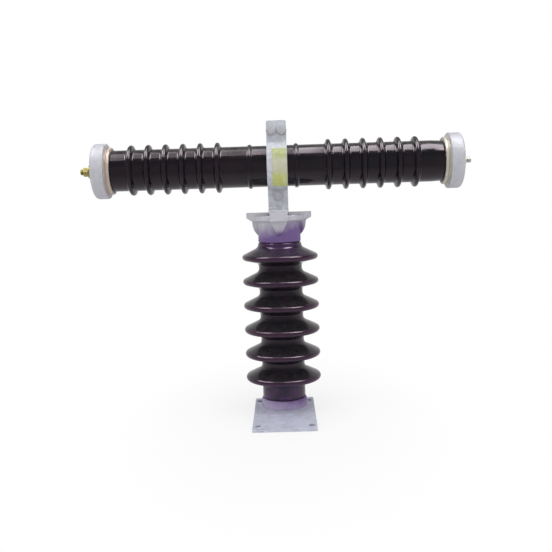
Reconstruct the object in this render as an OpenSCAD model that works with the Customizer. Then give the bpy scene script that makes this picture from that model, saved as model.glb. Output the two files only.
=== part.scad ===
// High-voltage tube fuse: a ribbed porcelain tube with metal end caps, held by a
// two-piece clamp on a shedded porcelain post that stands on a rectangular plate.
// Frame: millimetres, +Z up, the tube along X, the front of the base plate at -Y.
// Origin: centre of the four base holes, on the underside of the base plate.

/* [Base plate] */
// width of the plate, left to right
plate_w = 123; // [118:1:150]
// depth of the plate, front to back
plate_d = 216; // [190:1:260]
// thickness of the plate
plate_t = 5; // [4:0.5:10]
// corner radius of the plate
plate_corner = 5; // [2:0.5:10]
// distance from the plate's side edge to the holes
hole_in_x = 10.5; // [9:0.5:13]
// distance from the plate's front and back edges to the holes
hole_in_y = 22.5; // [12:0.5:30]
// diameter of the four holes
hole_d = 13; // [9:0.5:15]
// distance from the plate's back edge to the axis of the post
post_back = 50; // [47:1:80]

/* [Post insulator] */
// height of the post with its two metal fittings
post_h = 400; // [250:1:480]
// radius of the porcelain core
core_r = 44; // [38:0.5:48]
// how far a shed stands out from the core
shed_out = 33.2; // [24:0.1:40]
// number of sheds, as far as the post has room for them
shed_n = 6; // [3:1:8]
// slope of a shed's top, in degrees
shed_slope = 26; // [18:1:32]
// slope of a shed's underside, which falls towards the core, in degrees
under_slope = 14; // [4:1:20]
// radius of a shed's rim
rim_r = 6; // [3:0.1:8]
// radius of the fillet between a shed's top and the core
shed_fillet = 10; // [5:0.5:16]
// radius of the fillet between a shed's underside and the core
under_fillet = 8; // [4:0.5:12]
// bare neck between one shed and the next
shed_neck = 4.3; // [2:0.1:20]
// bare neck between the top shed and the top fitting
top_neck = 1; // [0.5:0.1:30]
// least bare neck between the lowest shed and the bottom fitting
neck_min = 8; // [4:1:30]
// how much thinner the porcelain is where a fitting holds it
end_step = 8; // [2:0.5:12]
// thickness of the cement in the fittings
cement_t = 3; // [2:0.5:4]

/* [Bottom fitting] */
// wall of the bottom fitting
low_wall = 7.4; // [3:0.1:9]
// height of the bottom fitting
low_h = 18; // [14:1:24]
// thickness of its floor
low_floor = 4; // [3:0.5:6]
// radius of its threaded boss, inside the porcelain
low_boss_r = 14; // [12:0.5:20]
// height of the boss above the floor
low_boss_h = 20; // [12:1:30]
// diameter of the screw that fixes the fitting to the plate
fix_d = 16; // [12:1:18]
// diameter of that screw's flat head
fix_head_d = 26; // [22:1:34]

/* [Top fitting] */
// wall of the cup's skirt
cup_wall = 4; // [3:0.1:6]
// height of the cup below its ears
cup_h = 43; // [38:1:52]
// height of the plain skirt below the webs
skirt_h = 13.5; // [6:0.5:18]
// depth to which the porcelain goes up into the cup
cup_depth = 42; // [30:1:46]
// thickness of an ear
ear_t = 16; // [13:0.5:18]
// width of an ear
ear_w = 36; // [32:1:44]
// how far an ear reaches out from the cup's lip
ear_out = 22.3; // [19:0.1:30]
// how much lower the ring between the ears is
ring_drop = 6; // [2:0.5:8]
// width of an ear's web at its foot
web_foot = 5; // [3:1:14]
// diameter of the hole in each side ear
ear_hole_d = 11; // [8:0.5:13]

/* [Clamp] */
// width of the straps, along the tube
strap_w = 40; // [36:1:50]
// thickness of the straps
strap_t = 6; // [4:0.5:7]
// gap between the two straps
strap_gap = 4; // [2:0.5:6]
// height of the legs, from the post to the underside of the band
leg_h = 44; // [40:1:60]
// how far the ears stand up from the tube's axis
ear_rise = 90; // [84:1:110]
// radius of the bends and fillets of the straps
strap_bend = 6; // [3:0.5:8]
// radius of the ears' top corners
strap_corner = 4; // [1:0.5:8]
// thickness of the rubber strip round the tube
liner_t = 2; // [1:0.5:3]
// how far the feet stop short of the ears' edge
foot_in = 5.3; // [3:0.1:10]
// shank diameter of the clamp bolts
clamp_bolt_d = 10; // [8:1:12]
// distance between the two top bolts
top_bolt_pitch = 22; // [20:1:24]
// distance from the top of the ears down to the top bolts
top_bolt_drop = 20; // [15:1:26]
// height of the lower bolt above the feet
low_bolt_up = 28; // [20:1:30]
// shank diameter of the foot bolts
foot_bolt_d = 8; // [6:1:9]
// distance between the two bolts of a foot
foot_bolt_pitch = 22; // [18:1:22]
// distance from an ear's edge to the foot bolts
foot_bolt_in = 14.3; // [12:0.1:18]
// play of the bolts in their clearance holes
bolt_play = 0.5; // [0.2:0.1:1]

/* [Label] */
// width of the plain label on the band
label_w = 28.5; // [16:0.5:36]
// distance from the band's right edge to the label
label_in = 1; // [0:0.5:4]
// thickness of the label
label_t = 0.6; // [0.3:0.1:1]
// glue line between the band and the label
label_glue = 0.3; // [0.2:0.05:0.6]
// how far the label goes up from the height of the axis, in degrees
label_up = 42; // [20:1:60]
// how far it goes down, in degrees
label_down = 55; // [20:1:62]

/* [Fuse tube] */
// outer radius of the porcelain tube
tube_r = 41; // [36:0.5:46]
// wall of the porcelain tube
tube_wall = 14; // [10:0.5:15]
// how far a small shed stands out from the tube
ring_out = 9.4; // [6:0.1:14]
// radius of a small shed's rim
ring_rim_r = 3.2; // [2:0.1:4]
// number of small sheds on each side
ring_n = 6; // [3:1:7]
// distance from one small shed to the next
ring_pitch = 34.7; // [28:0.1:40]
// distance of the first small shed from the middle of the sheds
ring_first = 110.5; // [90:0.5:130]
// distance of the sheds' middle from the clamp, to the right
ring_shift = -8; // [-10:1:8]
// how far a bead stands out from the tube
bead_out = 3.2; // [1.5:0.1:5]
// distance of a bead from the middle of the sheds
bead_x = 46.4; // [44:0.1:60]
// plain length of tube between the last shed and the left collar
plain_left = 39; // [25:1:80]
// plain length of tube between the last shed and the right collar
plain_right = 55; // [32:1:80]
// length of the taper beside the right collar
taper_l = 22; // [10:1:24]

/* [Collars and caps] */
// how far a collar shows outside its cap
collar_show = 10; // [8:0.5:14]
// wall of a collar
collar_wall = 4; // [3:0.5:6]
// length of a collar inside its cap
collar_in = 11; // [8:0.5:16]
// depth of the groove round a collar
groove_d = 2; // [1:0.5:2.5]
// wall of a cap, round its collar
cap_wall = 8.3; // [6:0.1:12]
// thickness of a cap's end
cap_end = 12.5; // [9:0.5:16]
// radius of a cap's rounded edge
cap_round = 7; // [3:0.5:8]
// depth of the turned recess in a cap's outer face
face_d = 1.5; // [0.5:0.5:3]
// radius of the terminal boss
boss_r = 17; // [15:0.5:22]
// height of the terminal boss above the cap
boss_h = 5; // [3:0.5:8]
// thickness of the sealing gasket
gasket_t = 3; // [2:0.5:4]

/* [Terminals] */
// diameter of the studs
stud_d = 12; // [10:1:14]
// how far the left stud stands out from its cap
stud_left = 29.5; // [27:0.5:45]
// how far the right stud stands out from its cap
stud_right = 21.5; // [18:0.5:45]
// size across the flats of the nuts
nut_af = 18; // [17:0.5:22]
// thickness of the left nut
nut_left = 10; // [8:0.5:12]
// thickness of the right nut
nut_right = 4; // [3:0.5:8]
// thickness of the left washers
washer_left = 8; // [2:0.5:8]
// thickness of the right washer
washer_right = 2; // [1:0.5:3]
// radius of the washers
washer_r = 13; // [12:0.5:15]

/* [Fuse link] */
// play of the link's ferrules in the tube
link_play = 3; // [1:0.5:6]
// wall of a ferrule
ferrule_t = 2; // [1:0.5:3]
// length of a ferrule
ferrule_l = 34; // [20:1:50]
// wall of the link's tube
link_wall = 5; // [2:0.5:8]
// how far a contact boss reaches into the tube from the gasket
contact_l = 17; // [8:1:24]
// radius of a contact boss
contact_r = 16; // [10:0.5:18]

/* [Hidden] */
$fn = 96;
// cuts run this far past a face
e = 1;

// Where the post stands and how high its top is.
post_y = plate_d / 2 - post_back;
post_top = plate_t + post_h;

// Radii of the porcelain's ends and of the two fittings.
foot_r = core_r - end_step;
socket_r = foot_r + cement_t;
low_r = socket_r + low_wall;
cup_r = socket_r + cup_wall;
ear_reach = cup_r + ear_out;
ear_z = post_top - ear_t;
cup_z = ear_z - cup_h;
web_z = cup_z + cup_depth;
ring_z = post_top - ring_drop;
skirt_z = cup_z + skirt_h;
low_z = plate_t + low_h;

// How far a shed's root lies above or below the middle of its rim, for a face of that slope and fillet.
shed_r = core_r + shed_out;
rim_x = shed_r - rim_r;
function root(slope, fillet) =
    let (x0 = rim_x + rim_r * sin(slope),
         x1 = core_r + fillet * (1 - sin(slope)))
    (rim_r + fillet) * cos(slope) + (x0 - x1) * tan(slope);
shed_rise = root(shed_slope, shed_fillet);
shed_fall = root(under_slope, under_fillet);

// Sheds of the post: shed k counts from the top, and a short post has only those that fit above its foot.
// height over which the porcelain draws in at its ends
shoulder_h = 3.5;
shed_pitch = shed_rise + shed_neck + shed_fall;
top_shed_z = cup_z - shoulder_h - top_neck - shed_rise;
shed_fit = 1 + floor((top_shed_z - shed_fall - neck_min - low_z) / shed_pitch);
shed_count = min(shed_n, shed_fit);
function shed_z(k) = top_shed_z - shed_pitch * k;

// The band round the tube and the height of the tube's axis.
band_in = tube_r + liner_t;
band_r = band_in + strap_t;
tube_z = post_top + leg_h + band_r;
foot_y = ear_reach - foot_in;
foot_bolt_y = ear_reach - foot_bolt_in;

// Distances along the tube, from the clamp to each end's collar.
ring_last = ring_first + (ring_n - 1) * ring_pitch;
end_left = ring_last - ring_shift + plain_left;
end_right = ring_last + ring_shift + plain_right;
function end_x(side) = side < 0 ? end_left : end_right;

// Radii and distances of an end, measured outward from where its collar begins.
neck_r = tube_r - 1.5;
bore_r = tube_r - tube_wall;
collar_bore = neck_r + cement_t + 0.5;
collar_r = collar_bore + collar_wall;
cap_r = collar_r + cap_wall;
seat_u = collar_show + collar_in;
cap_u = seat_u + gasket_t;
face_u = cap_u + cap_end;
contact_u = cap_u - contact_l;
// core diameter of the stud's thread
core_d = stud_d * 0.85;

// The fuse link.
ferrule_r = bore_r - link_play;
link_r = ferrule_r - ferrule_t;
link_u = contact_u - 4;

// Points of an arc from angle a0 to angle a1, in n steps.
function arc(cx, cy, r, a0, a1, n) =
    [for (i = [0 : n]) let (a = a0 + (a1 - a0) * i / n) [cx + r * cos(a), cy + r * sin(a)]];

// Move to the axis of the post.
module on_post() {
    translate([0, post_y, 0]) children();
}

// Lay what is drawn round Z along the tube: its height becomes +X.
module along_tube() {
    translate([0, post_y, tube_z]) rotate([0, 90, 0]) children();
}

// Put a piece at one end of the tube: side = 1 is the right end, side = -1 the left one.
module at_end(side) {
    along_tube() mirror([0, 0, side < 0 ? 1 : 0]) translate([0, 0, end_x(side)]) children();
}

// A rectangle with round corners, centred.
module round_rect(w, d, r) {
    union() {
        square([w - 2 * r, d], center = true);
        square([w, d - 2 * r], center = true);
        for (x = [-1, 1], y = [-1, 1])
            translate([x * (w / 2 - r), y * (d / 2 - r)]) circle(r = r, $fn = 32);
    }
}

// A hexagon prism from z = z0 to z = z1, af across its flats.
module hex(af, z0, z1) {
    translate([0, 0, z0]) rotate([0, 0, 30]) cylinder(h = z1 - z0, r = af / 2 / cos(30), $fn = 6);
}

// A rod from z = z0 to z = z1.
module rod(r, z0, z1) {
    translate([0, 0, z0]) cylinder(h = z1 - z0, r = r, $fn = 48);
}

// Base plate, with the countersink of the screw that holds the post.
module base_plate() {
    color([0.72, 0.76, 0.82])
    difference() {
        linear_extrude(plate_t)
            difference() {
                round_rect(plate_w, plate_d, plate_corner);
                for (x = [-1, 1], y = [-1, 1])
                    translate([x * (plate_w / 2 - hole_in_x), y * (plate_d / 2 - hole_in_y)])
                        circle(d = hole_d, $fn = 48);
            }
        on_post() rotate_extrude()
            polygon([[0, -e], [fix_head_d / 2, -e], [fix_head_d / 2, 0], [fix_d / 2, plate_t],
                     [fix_d / 2, plate_t + e], [0, plate_t + e]]);
    }
}

// Cup at the foot of the post, with a threaded boss that the porcelain sits over.
module bottom_fitting() {
    floor_z = plate_t + low_floor;
    boss_z = floor_z + low_boss_h;
    color([0.62, 0.64, 0.70]) on_post()
    rotate_extrude()
        polygon([[fix_d / 2, plate_t], [low_r, plate_t], [low_r, low_z - 2.5], [low_r - 1.2, low_z],
                 [socket_r, low_z], [socket_r, floor_z], [low_boss_r, floor_z], [low_boss_r, boss_z],
                 [fix_d / 2, boss_z]]);
}

module bottom_cement() {
    color([0.66, 0.64, 0.60]) on_post()
    rotate_extrude()
        polygon([[foot_r, plate_t + low_floor], [socket_r, plate_t + low_floor],
                 [socket_r, low_z - 0.5], [foot_r, low_z]]);
}

module fixing_screw() {
    tip_z = plate_t + low_floor + low_boss_h - 1;
    color([0.58, 0.60, 0.62]) on_post()
    difference() {
        rotate_extrude()
            polygon([[0, 0], [fix_head_d / 2, 0], [fix_d / 2, plate_t], [fix_d / 2, tip_z - 1],
                     [fix_d / 2 - 1, tip_z], [0, tip_z]]);
        hex(fix_d * 0.6, -e, 4);
    }
}

// Outline of one shed of the post, from the fillet of its underside over the rim to its upper fillet.
function shed_outline(z) =
    concat(arc(core_r + under_fillet, z - shed_fall, under_fillet, 180, 90 + under_slope, 5),
           arc(rim_x, z, rim_r, under_slope - 90, 90 - shed_slope, 8),
           arc(core_r + shed_fillet, z + shed_rise, shed_fillet, 270 - shed_slope, 180, 5));

module post_insulator() {
    floor_z = plate_t + low_floor;
    boss_z = floor_z + low_boss_h;
    color([0.17, 0.12, 0.14]) on_post()
    rotate_extrude()
        polygon(concat(
            [[0, boss_z + 1], [low_boss_r, boss_z + 1], [low_boss_r, floor_z], [foot_r, floor_z],
             [foot_r, low_z], [core_r - 1.6, low_z + 1.5], [core_r, low_z + shoulder_h]],
            [for (k = [shed_count - 1 : -1 : 0]) each shed_outline(shed_z(k))],
            [[core_r, cup_z - shoulder_h], [core_r - 1.6, cup_z - 1.5], [foot_r, cup_z],
             [foot_r, web_z], [0, web_z]]));
}

module top_cement() {
    color([0.66, 0.64, 0.60]) on_post()
    rotate_extrude()
        polygon([[foot_r, cup_z + 0.5], [socket_r, cup_z + 1], [socket_r, web_z], [foot_r, web_z]]);
}

// The cast cap of the post: a cup with a plain skirt, a low ring, four ears and a web under each ear.
module top_fitting() {
    color([0.70, 0.72, 0.78]) on_post()
    difference() {
        union() {
            rotate_extrude()
                polygon([[0, cup_z], [cup_r - 0.8, cup_z], [cup_r, cup_z + 0.8], [cup_r, skirt_z],
                         [cup_r + 1.5, ear_z - 8], [cup_r + 4.5, ear_z - 3], [cup_r + 11, ear_z + 1],
                         [cup_r + 11, ring_z - 1.5], [cup_r + 9.5, ring_z], [0, ring_z]]);
            for (a = [0 : 90 : 270]) rotate([0, 0, a]) top_ear();
            for (a = [0 : 90 : 270]) rotate([0, 0, a]) ear_web();
            rod(24, ring_z - e, post_top);
        }
        translate([0, 0, cup_z - e]) cylinder(h = web_z - cup_z + e, r = socket_r);
        for (s = [-1, 1]) translate([s * (ear_reach - 10.3), 0, 0]) rod(ear_hole_d / 2, ear_z - 9, post_top + e);
        for (s = [-1, 1], x = [-1, 1])
            translate([x * foot_bolt_pitch / 2, s * foot_bolt_y, 0])
                rod(foot_bolt_d / 2, ear_z + 3, post_top + e);
    }
}

module top_ear() {
    inner = 20;
    long = ear_reach - inner;
    translate([inner, 0, ear_z]) linear_extrude(ear_t)
        union() {
            translate([0, -ear_w / 2]) square([long - 6, ear_w]);
            translate([0, -ear_w / 2 + 6]) square([long, ear_w - 12]);
            for (s = [-1, 1]) translate([long - 6, s * (ear_w / 2 - 6)]) circle(r = 6, $fn = 32);
        }
}

// A web: a round-bottomed ring cut to a wedge that narrows downward, to the skirt.
module ear_web() {
    web_h = ear_z - skirt_z;
    intersection() {
        rotate_extrude()
            polygon([[socket_r + 1, skirt_z - 1.5], [cup_r, skirt_z], [cup_r + 4, skirt_z + web_h * 0.15],
                     [cup_r + 8, skirt_z + web_h * 0.35], [cup_r + 10.5, skirt_z + web_h * 0.6],
                     [cup_r + 12.5, ear_z + 0.5], [socket_r + 1, ear_z + 0.5]]);
        translate([cup_r / 2, 0, 0]) rotate([90, 0, 90]) linear_extrude(cup_r)
            polygon([[-web_foot / 2, skirt_z - 2], [web_foot / 2, skirt_z - 2],
                     [ear_w / 2 - 0.5, ear_z + 0.5], [-ear_w / 2 + 0.5, ear_z + 0.5]]);
    }
}

// Side view of the front strap, drawn in Y and Z round the tube's axis.
module strap_profile() {
    in_y = -strap_gap / 2;
    out_y = in_y - strap_t;
    foot_z = post_top - tube_z;
    difference() {
        union() {
            intersection() {
                circle(r = band_r);
                translate([-band_r - e, -band_r - e]) square([band_r + e + in_y, 2 * (band_r + e)]);
            }
            flared_bar(in_y, out_y, ear_rise);
            mirror([0, 1]) flared_bar(in_y, out_y, -foot_z);
            translate([-foot_y, foot_z]) square([foot_y + in_y, strap_t]);
            foot_fillet(out_y, foot_z + strap_t);
        }
        circle(r = band_in);
        // the bend's outer side
        difference() {
            translate([in_y - strap_bend, foot_z - e]) square([strap_bend + e, strap_bend + e]);
            translate([in_y - strap_bend, foot_z + strap_bend]) circle(r = strap_bend, $fn = 48);
        }
    }
}

// The strap's straight run beyond the band, with its fillet against the band.
module flared_bar(in_y, out_y, long) {
    cy = out_y - strap_bend + 0.05;
    reach = band_r + strap_bend - 0.05;
    cz = sqrt(reach * reach - cy * cy);
    k = (band_r - 1) / reach;
    difference() {
        polygon([[in_y, band_in - 3], [in_y, long], [out_y, long], [out_y, cz],
                 [cy * k, cz], [cy * k, cz * k]]);
        translate([cy, cz]) circle(r = strap_bend, $fn = 48);
    }
}

// Fillet on the inner side of the foot's bend.
module foot_fillet(out_y, top_z) {
    difference() {
        translate([out_y - strap_bend, top_z - 2]) square([strap_bend + 2, strap_bend + 2]);
        translate([out_y - strap_bend + 0.05, top_z + strap_bend - 0.05])
            circle(r = strap_bend, $fn = 48);
    }
}

// The front strap; the back one is its mirror image.
module clamp_half() {
    y1 = -strap_gap / 2 + e;
    y0 = y1 - strap_t - 2 * e;
    difference() {
        intersection() {
            translate([-strap_w / 2, 0, tube_z]) rotate([90, 0, 90])
                linear_extrude(strap_w) strap_profile();
            translate([0, 0, tube_z]) rotate([90, 0, 0]) translate([0, 0, -e]) linear_extrude(foot_y + 2 * e)
                union() {
                    square([strap_w, 2 * (ear_rise - strap_corner)], center = true);
                    translate([0, post_top - tube_z]) square([strap_w, 2 * ear_rise], center = true);
                    square([strap_w - 2 * strap_corner, 2 * ear_rise], center = true);
                    for (x = [-1, 1])
                        translate([x * (strap_w / 2 - strap_corner), ear_rise - strap_corner])
                            circle(r = strap_corner, $fn = 32);
                }
        }
        for (x = [-1, 1])
            translate([x * top_bolt_pitch / 2, 0, tube_z + ear_rise - top_bolt_drop]) rotate([-90, 0, 0])
                rod(clamp_bolt_d / 2 + bolt_play, y0, y1);
        translate([0, 0, post_top + strap_t + low_bolt_up]) rotate([-90, 0, 0])
            rod(clamp_bolt_d / 2 + bolt_play, y0, y1);
        for (x = [-1, 1])
            translate([x * foot_bolt_pitch / 2, -foot_bolt_y, post_top])
                rod(foot_bolt_d / 2 + bolt_play, -e, strap_t + e);
    }
}

module clamp_front() {
    color([0.75, 0.78, 0.83]) on_post() clamp_half();
}

module clamp_back() {
    color([0.75, 0.78, 0.83]) on_post() mirror([0, 1, 0]) clamp_half();
}

module clamp_liner() {
    color([0.12, 0.12, 0.13]) along_tube()
    rotate_extrude()
        polygon([[tube_r, -strap_w / 2], [band_in, -strap_w / 2], [band_in, strap_w / 2],
                 [tube_r, strap_w / 2]]);
}

// A bolt through both straps: head and washer in front, washer and nut behind.
module clamp_bolt() {
    grip = strap_gap / 2 + strap_t;
    af = clamp_bolt_d * 1.6;
    rotate([-90, 0, 0]) {
        rod(clamp_bolt_d / 2, -grip - e, grip + 12);
        rod(af * 0.6, -grip - 2, -grip);
        hex(af, -grip - 8, -grip - e);
        rod(af * 0.6, grip, grip + 2);
        hex(af, grip + e, grip + 9);
    }
}

module top_clamp_bolts() {
    color([0.66, 0.68, 0.72]) on_post()
    for (x = [-1, 1])
        translate([x * top_bolt_pitch / 2, 0, tube_z + ear_rise - top_bolt_drop]) clamp_bolt();
}

module lower_clamp_bolt() {
    color([0.66, 0.68, 0.72]) on_post()
    translate([0, 0, post_top + strap_t + low_bolt_up]) clamp_bolt();
}

module foot_bolts() {
    af = foot_bolt_d * 1.6;
    color([0.66, 0.68, 0.72]) on_post()
    for (x = [-1, 1], s = [-1, 1])
        translate([x * foot_bolt_pitch / 2, s * foot_bolt_y, post_top + strap_t]) {
            rod(foot_bolt_d / 2, ear_z + 3 - post_top - strap_t, e);
            rod(af * 0.62, 0, 1.6);
            hex(af, 1, 7);
        }
}

// Plain label bent round the front of the band.
module label_plate() {
    color([0.80, 0.84, 0.58])
    translate([strap_w / 2 - label_in, post_y, tube_z]) rotate([0, -90, 0]) rotate([0, 0, -90 - label_down])
        rotate_extrude(angle = label_up + label_down)
            translate([band_r + label_glue, 0]) square([label_t, label_w]);
}

// Outline of one small shed of the tube, at distance x along it.
function ring_outline(x) =
    concat(arc(tube_r + 2.5, x - 8.5, 2.5, 180, 90, 3),
           arc(tube_r + ring_out - ring_rim_r, x, ring_rim_r, -98, 98, 6),
           arc(tube_r + 2.5, x + 8.5, 2.5, 270, 180, 3));

// Outline of a bead: an arc that starts and ends on the tube's surface.
function bead_outline(x) =
    let (r = 4.4, a = acos((r - bead_out) / r))
    arc(tube_r + bead_out - r, x, r, -a, a, 6);

module fuse_tube() {
    color([0.17, 0.12, 0.14]) along_tube()
    rotate_extrude()
        polygon(concat(
            [[bore_r, -end_left - seat_u], [neck_r, -end_left - seat_u], [neck_r, -end_left],
             [tube_r, -end_left]],
            [for (k = [ring_n - 1 : -1 : 0]) each ring_outline(ring_shift - ring_first - k * ring_pitch)],
            bead_outline(ring_shift - bead_x),
            bead_outline(ring_shift + bead_x),
            [for (k = [0 : ring_n - 1]) each ring_outline(ring_shift + ring_first + k * ring_pitch)],
            [[tube_r, end_right - taper_l], [tube_r - 0.5, end_right - taper_l * 0.55],
             [neck_r, end_right], [neck_r, end_right + seat_u], [bore_r, end_right + seat_u]]));
}

// The pieces of an end, drawn outward from where the collar begins.
module end_cement() {
    color([0.66, 0.64, 0.60])
    rotate_extrude()
        polygon([[neck_r, 0.5], [collar_bore, 0.5], [collar_bore, seat_u], [neck_r, seat_u]]);
}

module end_collar(shade) {
    color(shade)
    rotate_extrude()
        polygon([[collar_bore, 0], [collar_r - 1.5, 0], [collar_r, 1.5], [collar_r, collar_show * 0.5],
                 [collar_r - groove_d, collar_show * 0.6], [collar_r - groove_d, collar_show],
                 [collar_r, collar_show], [collar_r, seat_u], [collar_bore, seat_u]]);
}

module gasket() {
    color([0.12, 0.12, 0.13])
    rotate_extrude()
        polygon([[bore_r + 2, seat_u], [collar_r, seat_u], [collar_r, cap_u], [bore_r + 2, cap_u]]);
}

module end_cap() {
    color([0.74, 0.77, 0.82])
    rotate_extrude()
        polygon(concat(
            [[core_d / 2, contact_u], [contact_r, contact_u], [contact_r, cap_u], [collar_r, cap_u],
             [collar_r, collar_show], [cap_r - 1, collar_show], [cap_r, collar_show + 1]],
            arc(cap_r - cap_round, face_u - cap_round, cap_round, 0, 90, 6),
            [[collar_r - 1, face_u], [collar_r - 2, face_u - face_d], [boss_r + 4, face_u - face_d],
             [boss_r + 1, face_u], [boss_r, face_u + boss_h], [core_d / 2, face_u + boss_h]]));
}

// A stud: the core of its thread inside the cap and the nut, the full size beyond the nut.
module stud(tint, out, nut_t, washer_t) {
    free_u = face_u + boss_h + washer_t + nut_t;
    tip_u = face_u + out;
    color(tint)
    rotate_extrude()
        polygon([[0, contact_u], [core_d / 2, contact_u], [core_d / 2, free_u], [stud_d / 2, free_u],
                 [stud_d / 2, tip_u - 1.2], [stud_d / 2 - 1.2, tip_u], [0, tip_u]]);
}

module nut(tint, nut_t, washer_t) {
    u = face_u + boss_h + washer_t;
    color(tint)
    difference() {
        hex(nut_af, u, u + nut_t);
        rod(core_d / 2, u - e, u + nut_t + e);
    }
}

module washer(tint, washer_t) {
    u = face_u + boss_h;
    color(tint)
    rotate_extrude()
        polygon([[stud_d / 2 + 0.5, u], [washer_r, u], [washer_r, u + washer_t],
                 [stud_d / 2 + 0.5, u + washer_t]]);
}

brass = [0.80, 0.68, 0.26];
plated = [0.66, 0.66, 0.58];

module end_cement_left() { at_end(-1) end_cement(); }
module end_cement_right() { at_end(1) end_cement(); }
module end_collar_left() { at_end(-1) end_collar([0.72, 0.64, 0.52]); }
module end_collar_right() { at_end(1) end_collar([0.74, 0.74, 0.60]); }
module gasket_left() { at_end(-1) gasket(); }
module gasket_right() { at_end(1) gasket(); }
module end_cap_left() { at_end(-1) end_cap(); }
module end_cap_right() { at_end(1) end_cap(); }
module terminal_stud_left() { at_end(-1) stud(brass, stud_left, nut_left, washer_left); }
module terminal_stud_right() { at_end(1) stud(plated, stud_right, nut_right, washer_right); }
module terminal_nut_left() { at_end(-1) nut(brass, nut_left, washer_left); }
module terminal_nut_right() { at_end(1) nut(plated, nut_right, washer_right); }
module terminal_washer_left() { at_end(-1) washer(brass, washer_left); }
module terminal_washer_right() { at_end(1) washer(plated, washer_right); }

// The fuse link inside the tube: a sand-filled tube with a brass ferrule on each end.
module link_tube() {
    color([0.86, 0.84, 0.78]) along_tube()
    rotate_extrude()
        polygon([[link_r - link_wall, -end_left - link_u], [link_r, -end_left - link_u],
                 [link_r, end_right + link_u], [link_r - link_wall, end_right + link_u]]);
}

module link_sand() {
    color([0.80, 0.76, 0.66]) along_tube()
    rotate_extrude()
        polygon([[0, -end_left - link_u], [link_r - link_wall, -end_left - link_u],
                 [link_r - link_wall, end_right + link_u], [0, end_right + link_u]]);
}

module link_ferrule() {
    color(brass)
    rotate_extrude()
        polygon([[0, link_u], [link_r, link_u], [link_r, contact_u - ferrule_l],
                 [ferrule_r, contact_u - ferrule_l], [ferrule_r, contact_u - 1],
                 [ferrule_r - 1, contact_u], [0, contact_u]]);
}

module link_ferrule_left() { at_end(-1) link_ferrule(); }
module link_ferrule_right() { at_end(1) link_ferrule(); }

base_plate();
bottom_fitting();
bottom_cement();
fixing_screw();
post_insulator();
top_cement();
top_fitting();
clamp_front();
clamp_back();
clamp_liner();
top_clamp_bolts();
lower_clamp_bolt();
foot_bolts();
label_plate();
fuse_tube();
end_cement_left();
end_cement_right();
end_collar_left();
end_collar_right();
gasket_left();
gasket_right();
end_cap_left();
end_cap_right();
terminal_stud_left();
terminal_stud_right();
terminal_nut_left();
terminal_nut_right();
terminal_washer_left();
terminal_washer_right();
link_tube();
link_sand();
link_ferrule_left();
link_ferrule_right();
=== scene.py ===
# %% [markdown]
# # A tube fuse on a post insulator
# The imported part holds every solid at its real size: a porcelain post on a steel plate, and a porcelain
# fuse tube that a pair of steel straps clamps on top of it. This file gives them their looks. Turned and
# threaded pieces are made again with finer curves, because gloss shows every facet. Sheet metal, the top
# casting and the label are copied with eased edges. Cement, rubber and what is hidden keep their solids
# and only get a finish.

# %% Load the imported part
import math

import bmesh
import bpy
from mathutils import Matrix, Vector


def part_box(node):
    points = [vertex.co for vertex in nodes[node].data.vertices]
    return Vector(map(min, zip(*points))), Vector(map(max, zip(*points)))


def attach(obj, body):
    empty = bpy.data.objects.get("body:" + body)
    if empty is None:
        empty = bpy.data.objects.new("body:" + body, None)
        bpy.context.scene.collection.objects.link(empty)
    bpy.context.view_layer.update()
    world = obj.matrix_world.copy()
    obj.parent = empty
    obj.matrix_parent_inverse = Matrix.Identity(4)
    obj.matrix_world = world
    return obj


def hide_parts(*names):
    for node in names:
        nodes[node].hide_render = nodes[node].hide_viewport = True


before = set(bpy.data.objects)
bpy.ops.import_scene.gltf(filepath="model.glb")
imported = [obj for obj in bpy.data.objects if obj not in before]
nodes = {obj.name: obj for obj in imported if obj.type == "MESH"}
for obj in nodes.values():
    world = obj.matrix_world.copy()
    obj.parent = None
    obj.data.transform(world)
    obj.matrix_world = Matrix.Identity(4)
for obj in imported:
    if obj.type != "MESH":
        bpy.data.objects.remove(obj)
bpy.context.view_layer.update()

MM = 0.001
print("CAD nodes:", len(nodes))

# %% [markdown]
# ## The two axes
# Nearly every piece is round, about one of two lines: the upright axis of the post and the level axis of
# the tube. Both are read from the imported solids, so whatever is made later sits where the solids are.

# %% Axes of the post and of the tube
post_low, post_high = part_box("post_insulator")
tube_low, tube_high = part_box("fuse_tube")
POST_Y = (post_low.y + post_high.y) / 2
TUBE_Z = (tube_low.z + tube_high.z) / 2
ON_POST = Matrix.Translation((0, POST_Y, 0))
ALONG_TUBE = Matrix.Translation((0, POST_Y, TUBE_Z)) @ Matrix.Rotation(math.radians(90), 4, "Y")
print("post axis y", round(POST_Y, 4), "tube axis z", round(TUBE_Z, 4))

# %% [markdown]
# ## The camera
# The photograph looks slightly down at the object and is tipped by about two degrees. A camera can be
# turned by angles, but three plain axes are easier to check: where it looks, its right and its up.

# %% Camera
CAMERA_AT = Vector((0.00842, -1.45635, 0.44702))
YAW, PITCH, ROLL = (math.radians(angle) for angle in (-0.68, -6.48, -1.85))
LENS, SENSOR = 48.5, 36


def camera_axes(yaw, pitch, roll):
    ahead = Vector((math.sin(yaw) * math.cos(pitch), math.cos(yaw) * math.cos(pitch), math.sin(pitch)))
    level = Vector((math.cos(yaw), -math.sin(yaw), 0))
    above = level.cross(ahead)
    right = level * math.cos(roll) + above * math.sin(roll)
    up = above * math.cos(roll) - level * math.sin(roll)
    return Matrix((right, up, -ahead)).transposed().to_4x4()


camera = bpy.data.objects.new("camera", bpy.data.cameras.new("camera"))
camera.data.lens = LENS
camera.data.sensor_width = SENSOR
camera.matrix_world = Matrix.Translation(CAMERA_AT) @ camera_axes(YAW, PITCH, ROLL)
bpy.context.scene.collection.objects.link(camera)
bpy.context.scene.camera = camera
print("camera lens", LENS, "mm at", tuple(CAMERA_AT))

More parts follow.
